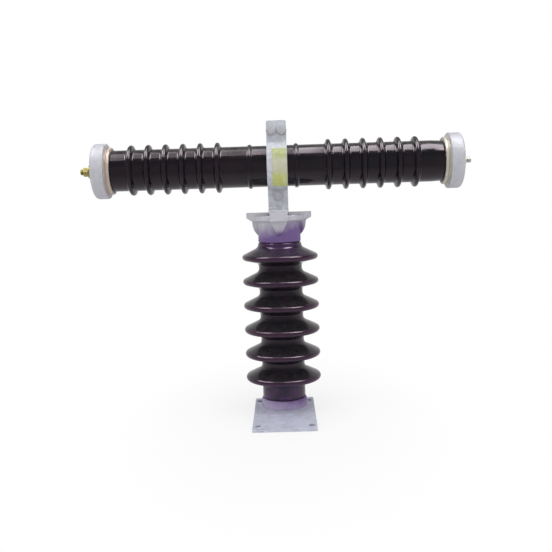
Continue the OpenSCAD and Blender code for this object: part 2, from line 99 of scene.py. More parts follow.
# %% [markdown]
# ## Wiring nodes
# A finish is a small net of shader nodes. One helper makes a node and fills its inputs, either with a
# number or with the output of another node, so that each finish below reads as a short list. An input goes
# by its name, or by at0, at1 and so on for its number where names repeat.

# %% Helpers for shader nodes
def add(tree, kind, settings=None, **inputs):
    made = tree.nodes.new(kind)
    for key, value in (settings or {}).items():
        setattr(made, key, value)
    for key, value in inputs.items():
        socket = made.inputs[int(key[2:])] if key[:2] == "at" else made.inputs[key.replace("_", " ")]
        if isinstance(value, bpy.types.NodeSocket):
            tree.links.new(value, socket)
        else:
            socket.default_value = value
    return made


def math_node(tree, operation, *values):
    return add(tree, "ShaderNodeMath", {"operation": operation},
               **{f"at{i}": value for i, value in enumerate(values)}).outputs[0]


def blend_colours(tree, factor, first, second, way="MIX"):
    made = add(tree, "ShaderNodeMix", {"data_type": "RGBA", "blend_type": way},
               at0=factor, at6=first, at7=second)
    return made.outputs[2]


def spread(tree, value, low, high, to_low=0.0, to_high=1.0):
    """Carry a value over from one range to another, held at both ends."""
    made = add(tree, "ShaderNodeMapRange", {"clamp": True}, Value=value,
               From_Min=low, From_Max=high, To_Min=to_low, To_Max=to_high)
    return made.outputs[0]


def place_on_object(tree):
    return add(tree, "ShaderNodeTexCoord").outputs["Object"]


def split(tree, vector):
    return add(tree, "ShaderNodeSeparateXYZ", Vector=vector).outputs


def rgb(red, green, blue):
    return (red, green, blue, 1.0)


# %% [markdown]
# ## The sky
# The object stands in front of plain white, and that white is for the camera alone: the world asks which
# kind of ray is looking. Surfaces get an even, soft light, a little stronger from the front. Gloss needs
# something to mirror, and a white room would wash the dark glaze out. So reflections see dim surroundings,
# a bright ceiling, and two round skylights that draw the streaks along the rims of the sheds.

# %% Sky
DIM_FRONT, DIM_BACK = 0.26, 0.7
CEILING_EDGE, CEILING_LEFT, CEILING_RIGHT = 3.8, 1.8, 8.0
SKYLIGHTS = ((-0.572, 0.041, 0.820), (0.447, -0.111, 0.888))
SKYLIGHT_GLOW = 9.5
SOFT_FRONT, SOFT_BACK, SOFT_ABOVE = 1.3, 0.8, 0.6
world = bpy.data.worlds.new("studio")
world.use_nodes = True
bpy.context.scene.world = world
sky = world.node_tree
sky.nodes.clear()
towards = add(sky, "ShaderNodeTexCoord").outputs["Generated"]
facing = split(sky, towards)
around = math_node(sky, "MULTIPLY", spread(sky, facing["Y"], -0.3, 0.5, DIM_FRONT, DIM_BACK),
                   spread(sky, facing["Z"], 0.25, 0.6, 1.0, 0.5))
ceiling = math_node(sky, "MAXIMUM", spread(sky, facing["Z"], 0.945, 0.955, CEILING_EDGE, CEILING_LEFT),
                    spread(sky, facing["X"], -0.01, 0.02, 0.0, CEILING_RIGHT))
ceiling = math_node(sky, "MULTIPLY", spread(sky, facing["Z"], 0.922, 0.932), ceiling)
mirrored = math_node(sky, "MAXIMUM", around, ceiling)
for skylight in SKYLIGHTS:
    aim = add(sky, "ShaderNodeVectorMath", {"operation": "DOT_PRODUCT"}, at0=towards, at1=skylight)
    glow = spread(sky, aim.outputs["Value"], 0.948, 0.962, 0.0, SKYLIGHT_GLOW)
    mirrored = math_node(sky, "MAXIMUM", mirrored, glow)
soft = math_node(sky, "MULTIPLY", spread(sky, facing["Y"], -0.3, 0.3, SOFT_FRONT, SOFT_BACK),
                 spread(sky, facing["Z"], 0.3, 0.9, 1.0, SOFT_ABOVE))
rays = add(sky, "ShaderNodeLightPath").outputs
strength = math_node(sky, "MAXIMUM", math_node(sky, "MULTIPLY", mirrored, rays["Is Glossy Ray"]),
                     math_node(sky, "MULTIPLY", soft, rays["Is Diffuse Ray"]))
unseen = add(sky, "ShaderNodeBackground", Color=rgb(1, 1, 1), Strength=strength)
seen = add(sky, "ShaderNodeBackground", Color=rgb(1, 1, 1), Strength=1.0)
pick = add(sky, "ShaderNodeMixShader",
           at0=rays["Is Camera Ray"], at1=unseen.outputs[0], at2=seen.outputs[0])
add(sky, "ShaderNodeOutputWorld", Surface=pick.outputs[0])
bpy.context.scene.view_settings.view_transform = "Standard"
print("sky nodes:", len(sky.nodes))

# %% [markdown]
# ## The floor
# The floor is one wide sheet just under the plate. It mixes a lit white, which takes the shadow, with a
# glowing white that melts into the sky, and the glow grows with the distance from the plate. Under the
# plate the floor is painted dark, a painted shade that makes the plate's four holes look deep. Mirrored in
# the glaze, the floor on the camera's side is dimmer, which keeps the undersides of the sheds dark.

# %% Floor
FLOOR_HALF, FLOOR_DROP = 8.0, 0.0004
# The dark colour under the plate is painted shade, seen through the plate's holes.
PAINTED_SHADE_UNDER_PLATE, LIT_WHITE = rgb(0.10, 0.10, 0.10), rgb(0.86, 0.86, 0.86)
GLOW_NEAR, GLOW_FULL, FULL_AT = 0.74, 1.0, 5.5
MIRRORED_FRONT, MIRRORED_BACK = 0.28, 0.75
plate_low, plate_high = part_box("base_plate")
PLATE_SIZE = plate_high - plate_low
floor_finish = bpy.data.materials.new("floor_white")
floor_finish.use_nodes = True
net = floor_finish.node_tree
net.nodes.clear()
rays = add(net, "ShaderNodeLightPath").outputs
mirrors = math_node(net, "MAXIMUM", rays["Is Glossy Ray"], rays["Is Transmission Ray"])
shown = math_node(net, "MAXIMUM", rays["Is Camera Ray"], mirrors)
place = split(net, place_on_object(net))
aside = math_node(net, "DIVIDE", math_node(net, "ABSOLUTE", place["X"]), PLATE_SIZE.x / 2)
along = math_node(net, "DIVIDE", math_node(net, "ABSOLUTE", place["Y"]), PLATE_SIZE.y / 2)
off_plate = spread(net, math_node(net, "MAXIMUM", aside, along), 0.97, 1.0)
# Under the plate the lit colour is a painted shade, dark so that the holes look deep.
lit = add(net, "ShaderNodeBsdfDiffuse", Color=blend_colours(net, off_plate, PAINTED_SHADE_UNDER_PLATE, LIT_WHITE))
outward = math_node(net, "SQRT", math_node(net, "ADD", math_node(net, "MULTIPLY", aside, aside),
                                           math_node(net, "MULTIPLY", along, along)))
glowing = math_node(net, "MULTIPLY", off_plate, spread(net, outward, 1.0, FULL_AT, GLOW_NEAR, GLOW_FULL))
share = math_node(net, "MULTIPLY", shown, glowing)
reflected = spread(net, place["Y"], -0.9, 0.1, MIRRORED_FRONT, MIRRORED_BACK)
bright = add(net, "ShaderNodeEmission", Color=rgb(1, 1, 1),
             Strength=math_node(net, "MAXIMUM", rays["Is Camera Ray"], reflected))
both = add(net, "ShaderNodeMixShader", at0=share, at1=lit.outputs[0], at2=bright.outputs[0])
add(net, "ShaderNodeOutputMaterial", Surface=both.outputs[0])

bm = bmesh.new()
bmesh.ops.create_grid(bm, x_segments=1, y_segments=1, size=FLOOR_HALF)
bmesh.ops.translate(bm, verts=bm.verts, vec=(0, 0, -FLOOR_DROP))
floor_mesh = bpy.data.meshes.new("floor")
bm.to_mesh(floor_mesh)
bm.free()
floor_mesh.materials.append(floor_finish)
floor = bpy.data.objects.new("floor", floor_mesh)
bpy.context.scene.collection.objects.link(floor)
print("floor", floor.dimensions[0], "m wide")

# %% [markdown]
# ## The lamps
# A sky alone leaves every piece flat. Two weak lamps, long and narrow, hang high to the left and the right
# and aim at the middle of the object, like the strip lights over a table for product photographs.

# %% Lamps
LAMPS = {"lamp_left": ((-1.18, -0.26, 2.25), 8), "lamp_right": ((1.18, -0.26, 2.25), 9)}
LAMP_TARGET = Vector((0.0, 0.06, 0.30))
LAMP_WIDE, LAMP_HIGH = 1.4, 0.3
for name, (spot, watts) in LAMPS.items():
    light = bpy.data.lights.new(name, "AREA")
    light.shape = "RECTANGLE"
    light.size, light.size_y = LAMP_WIDE, LAMP_HIGH
    light.energy = watts
    lamp = bpy.data.objects.new(name, light)
    aim = (LAMP_TARGET - Vector(spot)).to_track_quat("-Z", "Y")
    lamp.matrix_world = Matrix.Translation(spot) @ aim.to_matrix().to_4x4()
    bpy.context.scene.collection.objects.link(lamp)
print("lamps:", ", ".join(LAMPS))

# %% [markdown]
# ## Shared effects
# Four effects turn up in more than one finish: the distance from an axis, which tells a shed's rim from its
# root, a fine grain, the bright wear along edges, and the dust on what faces up, which on the tube's top is
# also a painted sheen. Each is a node group with named inputs, built once.

# %% Node group: distance from an axis
def new_group(name, inputs, outputs):
    tree = bpy.data.node_groups.new(name, "ShaderNodeTree")
    for label, kind, value in inputs:
        socket = tree.interface.new_socket(name=label, in_out="INPUT", socket_type=kind)
        socket.default_value = value
    for label, kind in outputs:
        tree.interface.new_socket(name=label, in_out="OUTPUT", socket_type=kind)
    return tree, add(tree, "NodeGroupInput").outputs, add(tree, "NodeGroupOutput").inputs


axis_distance, given, result = new_group(
    "axis_distance",
    [("Centre", "NodeSocketVector", (0, 0, 0)), ("Across", "NodeSocketVector", (1, 1, 0))],
    [("Distance", "NodeSocketFloat")])
offset = add(axis_distance, "ShaderNodeVectorMath", {"operation": "SUBTRACT"},
             at0=place_on_object(axis_distance), at1=given["Centre"])
flat = add(axis_distance, "ShaderNodeVectorMath", {"operation": "MULTIPLY"},
           at0=offset.outputs[0], at1=given["Across"])
length = add(axis_distance, "ShaderNodeVectorMath", {"operation": "LENGTH"}, at0=flat.outputs[0])
axis_distance.links.new(length.outputs["Value"], result["Distance"])
print("group", axis_distance.name)

# %% Node group: grain at two sizes
grain, given, result = new_group(
    "grain",
    [("Scale", "NodeSocketFloat", 100.0), ("Finer", "NodeSocketFloat", 6.0)],
    [("Coarse", "NodeSocketFloat"), ("Fine", "NodeSocketFloat")])
place = place_on_object(grain)
coarse = add(grain, "ShaderNodeTexNoise", Vector=place, Scale=given["Scale"], Detail=4.0)
fine_scale = math_node(grain, "MULTIPLY", given["Scale"], given["Finer"])
fine = add(grain, "ShaderNodeTexNoise", Vector=place, Scale=fine_scale, Detail=3.0)
grain.links.new(coarse.outputs["Fac"], result["Coarse"])
grain.links.new(fine.outputs["Fac"], result["Fine"])
print("group", grain.name)

# %% Node group: wear along edges
edge_wear, given, result = new_group(
    "edge_wear",
    [("Width", "NodeSocketFloat", 0.0008), ("Amount", "NodeSocketFloat", 1.0),
     ("Scale", "NodeSocketFloat", 300.0)],
    [("Mask", "NodeSocketFloat")])
rounded = add(edge_wear, "ShaderNodeBevel", {"samples": 4}, Radius=given["Width"])
true_normal = add(edge_wear, "ShaderNodeNewGeometry").outputs["Normal"]
match = add(edge_wear, "ShaderNodeVectorMath", {"operation": "DOT_PRODUCT"},
            at0=rounded.outputs[0], at1=true_normal)
edge = spread(edge_wear, match.outputs["Value"], 0.995, 0.86)
patches = add(edge_wear, "ShaderNodeTexNoise", Vector=place_on_object(edge_wear),
              Scale=given["Scale"], Detail=3.0)
worn = spread(edge_wear, patches.outputs["Fac"], 0.35, 0.62)
mask = math_node(edge_wear, "MULTIPLY", math_node(edge_wear, "MULTIPLY", edge, worn), given["Amount"])
edge_wear.links.new(mask, result["Mask"])
print("group", edge_wear.name)

# %% Node group: dust on what faces up, also a painted sheen on the tube
dust_and_sheen, given, result = new_group(
    "dust_and_sheen",
    [("Amount", "NodeSocketFloat", 0.5), ("Scale", "NodeSocketFloat", 40.0)],
    [("Mask", "NodeSocketFloat")])
upward = split(dust_and_sheen, add(dust_and_sheen, "ShaderNodeNewGeometry").outputs["Normal"])["Z"]
lying = spread(dust_and_sheen, upward, 0.35, 0.95)
cloud = add(dust_and_sheen, "ShaderNodeTexNoise", Vector=place_on_object(dust_and_sheen),
            Scale=given["Scale"], Detail=5.0, Roughness=0.65)
patchy = math_node(dust_and_sheen, "MULTIPLY", lying, spread(dust_and_sheen, cloud.outputs["Fac"], 0.3, 0.7))
mask = math_node(dust_and_sheen, "MULTIPLY", patchy, given["Amount"])
dust_and_sheen.links.new(mask, result["Mask"])
print("group", dust_and_sheen.name)

# %% [markdown]
# ## Finishes
# Each finish starts from a Principled shader. What is the same all over is a number on the shader, and
# what changes over the surface comes from nodes.

# %% Helpers: a finish with its shader
finishes = {}


def new_finish(name, **settings):
    finish = bpy.data.materials.new(name)
    finish.use_nodes = True
    tree = finish.node_tree
    tree.nodes.clear()
    shader = add(tree, "ShaderNodeBsdfPrincipled", **settings)
    add(tree, "ShaderNodeOutputMaterial", Surface=shader.outputs[0])
    finishes[name] = finish
    return tree, shader


def use_group(tree, group, **inputs):
    return add(tree, "ShaderNodeGroup", {"node_tree": group}, **inputs).outputs


def feed(tree, shader, colour, roughness):
    tree.links.new(colour, shader.inputs["Base Color"])
    tree.links.new(roughness, shader.inputs["Roughness"])


def bump(tree, shader, height, strength, distance):
    made = add(tree, "ShaderNodeBump", Height=height, Strength=strength, Distance=distance)
    tree.links.new(made.outputs[0], shader.inputs["Normal"])


# %% [markdown]
# ### Porcelain
# The glaze is nearly black with a violet-brown depth. It runs thin over every rim while it melts, so a
# warmer colour shows there, and the distance from the axis finds the rims. The violet lacquer of the two
# fittings was sprayed a little past them, so it also tints the post's glaze in two bands, set by height. The
# gloss comes from a low roughness with a slight waviness.

# %% Porcelain glaze
SHED_R, FIN_R = 77.2, 50.4
SPRAYED_LACQUER, DUST_AND_SHEEN_COLOUR = rgb(0.078, 0.034, 0.110), rgb(0.42, 0.38, 0.36)


def porcelain(name, centre, across, rim_from, rim_to, thick_glaze, thin_glaze, dust_and_sheen_amount, sprayed=()):
    tree, shader = new_finish(name, IOR=1.47, Specular_Tint=rgb(1.0, 0.84, 0.95))
    reach = use_group(tree, axis_distance, Centre=centre, Across=across)["Distance"]
    marks = use_group(tree, grain, Scale=38.0, Finer=9.0)
    thin = math_node(tree, "MULTIPLY", spread(tree, reach, rim_from, rim_to),
                     spread(tree, marks["Coarse"], 0.25, 0.7, 0.35, 1.0))
    depth = blend_colours(tree, spread(tree, marks["Coarse"], 0.35, 0.65),
                          *(rgb(*shade) for shade in thick_glaze))
    glaze = blend_colours(tree, thin, depth, rgb(*thin_glaze))
    for band in sprayed:
        level = split(tree, place_on_object(tree))["Z"]
        mist = math_node(tree, "MULTIPLY", spread(tree, level, *band),
                         spread(tree, marks["Coarse"], 0.35, 0.65, 0.25, 1.0))
        glaze = blend_colours(tree, mist, glaze, SPRAYED_LACQUER)
    # Pale dust on what faces up; on the tube it also lightens the top, a painted sheen along the glaze's
    # highlight.
    dust_and_sheen_mask = use_group(tree, dust_and_sheen, Amount=dust_and_sheen_amount, Scale=55.0)["Mask"]
    gloss = spread(tree, marks["Fine"], 0.3, 0.7, 0.09, 0.15)
    feed(tree, shader, blend_colours(tree, dust_and_sheen_mask, glaze, DUST_AND_SHEEN_COLOUR),
         math_node(tree, "ADD", gloss, math_node(tree, "MULTIPLY", dust_and_sheen_mask, 1.5)))
    bump(tree, shader, marks["Coarse"], 0.12, 0.0012)


porcelain("post_glaze", (0, POST_Y, 0), (1, 1, 0), (SHED_R - 6) * MM, SHED_R * MM,
          ((0.010, 0.011, 0.0145), (0.015, 0.010, 0.0155)), (0.042, 0.016, 0.040), 0.05,
          ((0.318, 0.346), (0.070, 0.028)))
porcelain("tube_glaze", (0, POST_Y, TUBE_Z), (0, 1, 1), (FIN_R - 2.2) * MM, FIN_R * MM,
          ((0.0065, 0.0070, 0.0090), (0.0115, 0.0080, 0.0110)), (0.014, 0.009, 0.014), 0.10)
print("finishes:", list(finishes))

# %% [markdown]
# ### Galvanised steel
# Straps, plate and bolts are dipped in zinc. The zinc freezes in flat crystals, which a cell pattern
# imitates: each cell is a little lighter or darker and a little rougher or smoother than its neighbour. Old
# zinc is dull, so the finish is only slightly metallic.

# %% Galvanised steel
DARKEST_CRYSTAL, RUBBED_ZINC = 0.78, rgb(0.86, 0.87, 0.90)


def galvanised(name, tint, crystal_scale, weathered, metallic, **settings):
    tree, shader = new_finish(name, Metallic=metallic, **settings)
    marks = use_group(tree, grain, Scale=60.0, Finer=12.0)
    warp = add(tree, "ShaderNodeVectorMath", {"operation": "MULTIPLY_ADD"}, at0=marks["Coarse"],
               at1=(0.006, 0.006, 0.006), at2=place_on_object(tree))
    cells = add(tree, "ShaderNodeTexVoronoi", Vector=warp.outputs[0], Scale=crystal_scale, Randomness=1.0)
    shade = add(tree, "ShaderNodeSeparateColor", Color=cells.outputs["Color"]).outputs[0]
    zinc = blend_colours(tree, shade, rgb(*(part * DARKEST_CRYSTAL for part in tint)), rgb(*tint))
    clouds = spread(tree, marks["Coarse"], 0.3, 0.7)
    zinc = blend_colours(tree, clouds, blend_colours(tree, 0.2, zinc, rgb(*weathered)), zinc)
    wear = use_group(tree, edge_wear, Width=0.0007, Amount=0.6, Scale=260.0)["Mask"]
    shine = spread(tree, shade, 0.0, 1.0, 0.50, 0.66)
    feed(tree, shader, blend_colours(tree, wear, zinc, RUBBED_ZINC),
         math_node(tree, "SUBTRACT", shine, math_node(tree, "MULTIPLY", wear, 0.12)))
    bump(tree, shader, marks["Fine"], 0.10, 0.0003)


galvanised("strap_zinc", (0.57, 0.59, 0.635), 170.0, (0.45, 0.46, 0.50), 0.04, Specular_IOR_Level=0.20)
galvanised("plate_zinc", (0.60, 0.61, 0.74), 130.0, (0.47, 0.47, 0.58), 0.18)
galvanised("bolt_zinc", (0.58, 0.59, 0.63), 420.0, (0.42, 0.42, 0.46), 0.35)
print("finishes:", list(finishes))

# %% [markdown]
# ### Cast fittings
# The two fittings on the post are rough castings. Near the porcelain they carry a violet-grey sealing
# lacquer, strongest at the mouth of each cup, so the colour follows the height on the post. Its edge leans so
# that more of the same dark violet lies on the right side, which is painted shade, and what stands out far
# from the post gets less of it.

# %% Cast fittings
RUBBED_CASTING = rgb(0.80, 0.80, 0.84)


def casting(name, metal, lacquer_and_shade_colour, clean_height, lacquer_height, painted_shade_lean):
    tree, shader = new_finish(name, Metallic=0.15)
    place = split(tree, place_on_object(tree))
    marks = use_group(tree, grain, Scale=70.0, Finer=7.0)
    level = math_node(tree, "ADD", place["Z"], spread(tree, marks["Coarse"], 0.2, 0.8, -0.006, 0.006))
    # The lean puts more dark violet on the right side of each fitting: painted shade.
    level = math_node(tree, "SUBTRACT", level, math_node(tree, "MULTIPLY", place["X"], painted_shade_lean))
    reach = use_group(tree, axis_distance, Centre=(0, POST_Y, 0), Across=(1, 1, 0))["Distance"]
    lacquer_and_painted_shade = math_node(tree, "MULTIPLY", spread(tree, level, clean_height, lacquer_height),
                     spread(tree, reach, 0.0465, 0.0530, 1.0, 0.35))
    bare = blend_colours(tree, marks["Coarse"], rgb(*(part * 0.84 for part in metal)), rgb(*metal))
    body = blend_colours(tree, lacquer_and_painted_shade, bare, rgb(*lacquer_and_shade_colour))
    wear = use_group(tree, edge_wear, Width=0.0011, Amount=0.55, Scale=180.0)["Mask"]
    feed(tree, shader, blend_colours(tree, wear, body, RUBBED_CASTING),
         spread(tree, marks["Fine"], 0.3, 0.7, 0.46, 0.62))
    pits = math_node(tree, "ADD", marks["Coarse"], math_node(tree, "MULTIPLY", marks["Fine"], 0.6))
    bump(tree, shader, pits, 0.35, 0.0009)


casting("top_casting", (0.58, 0.57, 0.62), (0.17, 0.100, 0.28), 0.392, 0.362, 0.28)
casting("foot_casting", (0.48, 0.41, 0.58), (0.17, 0.095, 0.27), 0.004, 0.028, -0.22)
print("finishes:", list(finishes))

# %% [markdown]
# ### Turned end metal
# Caps and collars come off a lathe, so fine rings run round the tube's axis. The distance from the axis and
# the place along it, added and pushed through a wave, give those rings as a bump.

# %% Caps, collars, brass
LATHE_RINGS = 5200.0


def turned_metal(name, tint, shadow, metallic, rough_low, rough_high, ring_strength, **settings):
    tree, shader = new_finish(name, Metallic=metallic, **settings)
    reach = use_group(tree, axis_distance, Centre=(0, POST_Y, TUBE_Z), Across=(0, 1, 1))["Distance"]
    along = split(tree, place_on_object(tree))["X"]
    marks = use_group(tree, grain, Scale=90.0, Finer=8.0)
    body = blend_colours(tree, spread(tree, marks["Coarse"], 0.32, 0.66), rgb(*shadow), rgb(*tint))
    wear = use_group(tree, edge_wear, Width=0.0006, Amount=0.5, Scale=300.0)["Mask"]
    rubbed = rgb(*(min(1, part * 1.25) for part in tint))
    feed(tree, shader, blend_colours(tree, wear, body, rubbed),
         spread(tree, marks["Fine"], 0.3, 0.7, rough_low, rough_high))
    turns = math_node(tree, "MULTIPLY", math_node(tree, "ADD", reach, along), LATHE_RINGS)
    bump(tree, shader, math_node(tree, "SINE", turns), ring_strength, 0.0001)


turned_metal("cap_metal", (0.52, 0.52, 0.565), (0.46, 0.46, 0.505), 0.12, 0.44, 0.56, 0.10,
             Specular_IOR_Level=0.30)
turned_metal("left_collar", (0.60, 0.49, 0.42), (0.50, 0.41, 0.35), 0.25, 0.40, 0.52, 0.06)
turned_metal("right_collar", (0.60, 0.57, 0.49), (0.50, 0.47, 0.40), 0.25, 0.40, 0.52, 0.06)
turned_metal("stud_brass", (0.43, 0.38, 0.13), (0.32, 0.27, 0.09), 0.60, 0.38, 0.50, 0.05)
turned_metal("stud_plated", (0.68, 0.68, 0.62), (0.56, 0.56, 0.50), 0.60, 0.34, 0.48, 0.05)
print("finishes:", list(finishes))

# %% [markdown]
# ### Cement, rubber and the link
# Cement is a pale grey with open pores, and rubber is dark and dull. The link inside the tube is never
# seen, and still gets its ceramic and sand. One recipe makes all four: two colours blended by a coarse
# grain, darkened in the pores of a finer one.

# %% Plain finishes
def plain(name, first, second, scale, rough_low, rough_high, depth):
    tree, shader = new_finish(name)
    marks = use_group(tree, grain, Scale=scale, Finer=5.0)
    body = blend_colours(tree, spread(tree, marks["Coarse"], 0.3, 0.7), rgb(*first), rgb(*second))
    pores = spread(tree, marks["Fine"], 0.28, 0.42, 0.72, 1.0)
    feed(tree, shader, blend_colours(tree, 1.0, body, pores, "MULTIPLY"),
         spread(tree, marks["Fine"], 0.3, 0.7, rough_low, rough_high))
    bump(tree, shader, marks["Fine"], 0.3, depth)


plain("joint_cement", (0.36, 0.34, 0.34), (0.48, 0.46, 0.45), 120.0, 0.80, 0.95, 0.0006)
plain("liner_rubber", (0.018, 0.018, 0.020), (0.030, 0.030, 0.033), 80.0, 0.60, 0.78, 0.0002)
plain("link_ceramic", (0.66, 0.63, 0.56), (0.74, 0.71, 0.64), 60.0, 0.45, 0.60, 0.0002)
plain("link_sand", (0.50, 0.45, 0.35), (0.66, 0.60, 0.48), 400.0, 0.85, 0.98, 0.0008)
print("finishes:", list(finishes))

# %% [markdown]
# ### The label
# The label is bare. Three colours blend into each other by height, with soft edges that a grain shifts up
# and down: a yellow green below, a greyer one in the middle, where it has faded most, and a darker one at
# the top, which is painted shade on the part that faces up. Patches of it have faded unevenly.

# %% Label
LABEL_TOP_PAINTED_SHADE, LABEL_MIDDLE, LABEL_LOW = rgb(0.38, 0.42, 0.19), rgb(0.48, 0.48, 0.34), rgb(0.47, 0.50, 0.15)
LABEL_FADED = rgb(0.60, 0.60, 0.52)
tree, shader = new_finish("plain_label", Specular_IOR_Level=0.4)
marks = use_group(tree, grain, Scale=110.0, Finer=5.0)
height = math_node(tree, "ADD", split(tree, place_on_object(tree))["Z"],
                   spread(tree, marks["Coarse"], 0.2, 0.8, -0.004, 0.004))
# The darker colour at the top is painted shade.
upper = spread(tree, height, TUBE_Z + 0.010, TUBE_Z + 0.019)
lower = spread(tree, height, TUBE_Z - 0.012, TUBE_Z - 0.020)
field = blend_colours(tree, upper, LABEL_MIDDLE, LABEL_TOP_PAINTED_SHADE)
field = blend_colours(tree, lower, field, LABEL_LOW)
faded = spread(tree, marks["Coarse"], 0.5, 0.72, 0.0, 0.5)
feed(tree, shader, blend_colours(tree, faded, field, LABEL_FADED),
     spread(tree, marks["Fine"], 0.3, 0.7, 0.38, 0.55))
bump(tree, shader, marks["Fine"], 0.08, 0.0002)
print("finishes:", len(finishes))

# %% [markdown]
# ## Making turned pieces
# A lathe piece is one outline swept round an axis. The outline is a wire of a few corners, each with its
# own rounding: a vertex bevel rounds it, and a spin turns the wire into a skin. Corners on the axis meet
# in a pole, which merging closes.

# %% Helpers: keep, turn, set back, join
def keep(name, bm, finish, stands_for=(), sharp=38):
    """Make a piece of a finished bmesh, with its finish, and hide the nodes it stands for."""
    bmesh.ops.remove_doubles(bm, verts=bm.verts, dist=2e-6)
    bmesh.ops.recalc_face_normals(bm, faces=bm.faces)
    mesh = bpy.data.meshes.new(name)
    bm.to_mesh(mesh)
    bm.free()
    mesh.shade_smooth()
    mesh.set_sharp_from_angle(angle=math.radians(sharp))
    mesh.materials.append(finishes[finish])
    piece = bpy.data.objects.new(name, mesh)
    bpy.context.scene.collection.objects.link(piece)
    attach(piece, "root")
    if stands_for:
        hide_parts(*stands_for)
    print(f"{name}: {len(mesh.polygons)} faces")
    return piece


def turn(outline, place=Matrix(), steps=96, closed=True, segments=6):
    """Spin (radius, height, rounding) corners, in mm, round the upright axis and move them to their place."""
    bm = bmesh.new()
    corners = [bm.verts.new((radius * MM, 0, height * MM)) for radius, height, _ in outline]
    pairs = list(zip(corners, corners[1:])) + ([(corners[-1], corners[0])] if closed else [])
    for pair in pairs:
        bm.edges.new(pair)
    for size in sorted({rounding for *_, rounding in outline if rounding}):
        soft = [v for v, (*_, rounding) in zip(corners, outline) if rounding == size]
        bmesh.ops.bevel(bm, geom=soft, offset=size * MM, offset_type="OFFSET", segments=segments, profile=0.5,
                        affect="VERTICES", clamp_overlap=False, material=-1)
    bmesh.ops.spin(bm, geom=bm.verts[:] + bm.edges[:], cent=(0, 0, 0), axis=(0, 0, 1), dvec=(0, 0, 0),
                   angle=math.tau, steps=steps, use_merge=True, use_duplicate=False)
    bmesh.ops.transform(bm, matrix=place, verts=bm.verts)
    return bm


def setback(radius, turning):
    """How far before a corner a rounding starts, if the corner turns by that many degrees."""
    return radius * math.tan(math.radians(turning / 2))


def joined(*parts):
    """Put several meshes together in one, and free the parts."""
    whole = bmesh.new()
    for part in parts:
        step = bpy.data.meshes.new("step")
        part.to_mesh(step)
        part.free()
        whole.from_mesh(step)
        bpy.data.meshes.remove(step)
    return whole


# %% [markdown]
# ## The post's porcelain
# Six sheds ring a straight core. The top of each slopes outwards and its underside falls a little towards
# the core, as on a post that is turned from one blank of clay. Each shed is four corners: a root below, two
# at the rim and a root above. Big roundings at the roots and a full one at the rim give the soft, thick look.

# %% Post porcelain
CORE_R, SHED_COUNT, SHED_PITCH, TOP_SHED_Z = 44.0, 6, 49.7, 315.3
SHED_SLOPE, UNDER_SLOPE = 26.0, 14.0
RIM_R, RIM_GAP, ROOT_ABOVE_R, ROOT_BELOW_R = 6.0, 0.01, 10, 8
FOOT_R, CUP_MOUTH_Z, CUP_FLOOR_Z = 36.0, 346.0, 388.0
rim_up = setback(RIM_R, 90 - SHED_SLOPE)
rim_down = setback(RIM_R, 90 - UNDER_SLOPE)


def shed(z):
    out = SHED_R - CORE_R
    root_low = z - rim_down - out * math.tan(math.radians(UNDER_SLOPE))
    root_high = z + rim_up + out * math.tan(math.radians(SHED_SLOPE))
    return [(CORE_R, root_low, setback(ROOT_BELOW_R, 90 - UNDER_SLOPE)),
            (SHED_R, z - rim_down, rim_down - RIM_GAP),
            (SHED_R, z + rim_up, rim_up - RIM_GAP),
            (CORE_R, root_high, setback(ROOT_ABOVE_R, 90 - SHED_SLOPE))]


outline = [(0, 30, 0), (14, 30, 0), (14, 9, 0), (FOOT_R, 9, 0), (FOOT_R, 23, 0),
           (42.4, 24.5, 0.8), (CORE_R, 26.5, 1)]
for k in reversed(range(SHED_COUNT)):
    outline += shed(TOP_SHED_Z - SHED_PITCH * k)
outline += [(CORE_R, CUP_MOUTH_Z - 3.4, 1), (42.4, CUP_MOUTH_Z - 1.5, 0.8), (FOOT_R, CUP_MOUTH_Z, 0),
            (FOOT_R, CUP_FLOOR_Z, 0), (0, CUP_FLOOR_Z, 0)]
keep("post_porcelain", turn(outline, ON_POST, steps=160, closed=False, segments=10),
     "post_glaze", ["post_insulator"])

# %% [markdown]
# ## The tube's porcelain
# The fuse tube has six small fins on each side of the clamp and a low bead at each side of the strap. It
# is hollow, so its outline is closed: it runs from left to right over the fins, and back along the bore.

# %% Tube porcelain
TUBE_R, BORE_R, NECK_R, BEAD_R = 41.0, 27.0, 39.5, 44.2
TUBE_SHIFT, FIN_FIRST, FIN_PITCH, FIN_COUNT, BEAD_X = -8.0, 110.5, 34.7, 6, 46.4


def fin(x):
    return [(TUBE_R, x - 6.6, 2.6), (FIN_R, x - 3.3, 3.1), (FIN_R, x + 3.3, 3.1), (TUBE_R, x + 6.6, 2.6)]


def bead(x):
    return [(TUBE_R, x - 4.7, 0.9), (BEAD_R, x - 2.7, 2.3), (BEAD_R, x + 2.7, 2.3), (TUBE_R, x + 4.7, 0.9)]


left_end, right_end = tube_low.x / MM, tube_high.x / MM
outline = [(BORE_R, left_end, 1), (NECK_R, left_end, 1), (NECK_R, left_end + 21, 0.4),
           (TUBE_R, left_end + 21.2, 0.7)]
fins = [FIN_FIRST + FIN_PITCH * k for k in range(FIN_COUNT)]
for x in reversed(fins):
    outline += fin(TUBE_SHIFT - x)
outline += bead(TUBE_SHIFT - BEAD_X) + bead(TUBE_SHIFT + BEAD_X)
for x in fins:
    outline += fin(TUBE_SHIFT + x)
outline += [(TUBE_R, right_end - 43, 3), (TUBE_R - 0.5, right_end - 33, 3), (NECK_R, right_end - 21, 1),
            (NECK_R, right_end, 1), (BORE_R, right_end, 1)]
keep("tube_porcelain", turn(outline, ALONG_TUBE, steps=128, segments=8),
     "tube_glaze", ["fuse_tube"])

# %% [markdown]
# ## Collars and caps
# Each end of the tube is closed by a turned cap over a grooved collar. Both ends are the same outline,
# drawn outward from where the collar begins, and laid on the tube's axis to the left and to the right.

